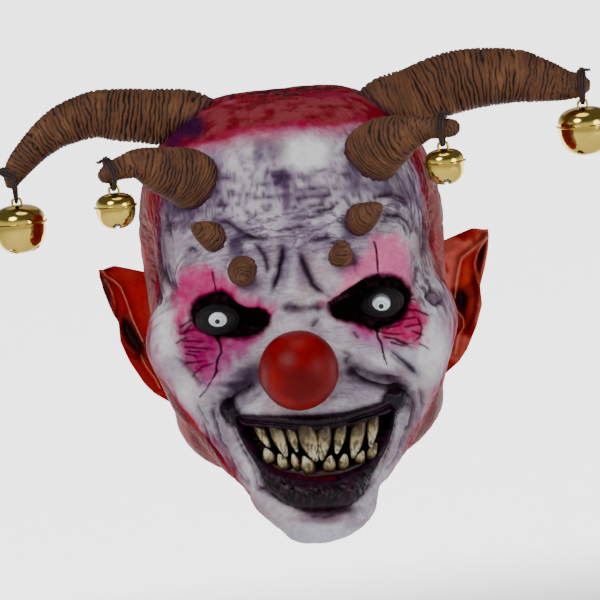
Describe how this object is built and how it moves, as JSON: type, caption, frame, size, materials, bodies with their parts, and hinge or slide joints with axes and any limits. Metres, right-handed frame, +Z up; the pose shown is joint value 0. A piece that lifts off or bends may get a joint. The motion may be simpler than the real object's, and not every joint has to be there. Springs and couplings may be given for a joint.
{
  "type": "horned jester mask with bells",
  "caption": "Full-head latex jester mask with curved horns, cord-tied bells, pointed ears, ball nose and a grin showing teeth.",
  "frame": {"origin": "where the wearer's crown touches the inside of the skin, on the head's middle plane", "axes": "+Z up, the face looks along -Y, and +X runs across the face to the viewer's right, horn tip to horn tip"},
  "size_m": [0.4448, 0.275, 0.3215],
  "materials": {
    "skin": "soft satin latex, airbrushed white, red and purple-grey",
    "nose": "glossy red lacquered latex",
    "eyes": "wet gloss, dark lids, white disc and black pupil",
    "teeth": "satin yellowed bone with brown roots",
    "horn": "matt grooved latex in browns",
    "cord": "twisted waxed cord",
    "bell": "polished brass plating",
    "pellet": "plain steel"
  },
  "bodies": {
    "mask": {"mask_skin": "skin", "nose_ball": "nose", "eye_left": "eyes", "eye_right": "eyes", "teeth_upper": "teeth", "teeth_lower": "teeth", "horn_top_left": "horn", "horn_top_right": "horn", "horn_side_left": "horn", "horn_side_right": "horn", "spike_upper_left": "horn", "spike_upper_right": "horn", "spike_lower_left": "horn", "spike_lower_right": "horn", "tie_top_left": "cord", "tie_top_right": "cord", "tie_side_left": "cord", "tie_side_right": "cord"},
    "top_left_bell": {"bell_top_left": "bell", "pellet_top_left": "pellet"},
    "top_right_bell": {"bell_top_right": "bell", "pellet_top_right": "pellet"},
    "side_left_bell": {"bell_side_left": "bell", "pellet_side_left": "pellet"},
    "side_right_bell": {"bell_side_right": "bell", "pellet_side_right": "pellet"}
  },
  "joints": [
    {"name": "top_left_bell_swing", "type": "hinge", "parent": "mask", "child": "top_left_bell", "pos_m": [-0.1908, 0, -0.05663], "axis": [0, 1, 0], "range_deg": [-30, 45]},
    {"name": "top_right_bell_swing", "type": "hinge", "parent": "mask", "child": "top_right_bell", "pos_m": [0.21344, 0, -0.0291], "axis": [0, -1, 0], "range_deg": [-30, 45]},
    {"name": "side_left_bell_swing", "type": "hinge", "parent": "mask", "child": "side_left_bell", "pos_m": [-0.11685, -0.10295, -0.0444], "axis": [-0.2074, 0.9783, 0], "range_deg": [-30, 45]},
    {"name": "side_right_bell_swing", "type": "hinge", "parent": "mask", "child": "side_right_bell", "pos_m": [0.10816, -0.10205, -0.03793], "axis": [-0.158, -0.9874, 0], "range_deg": [-30, 45]}
  ]
}
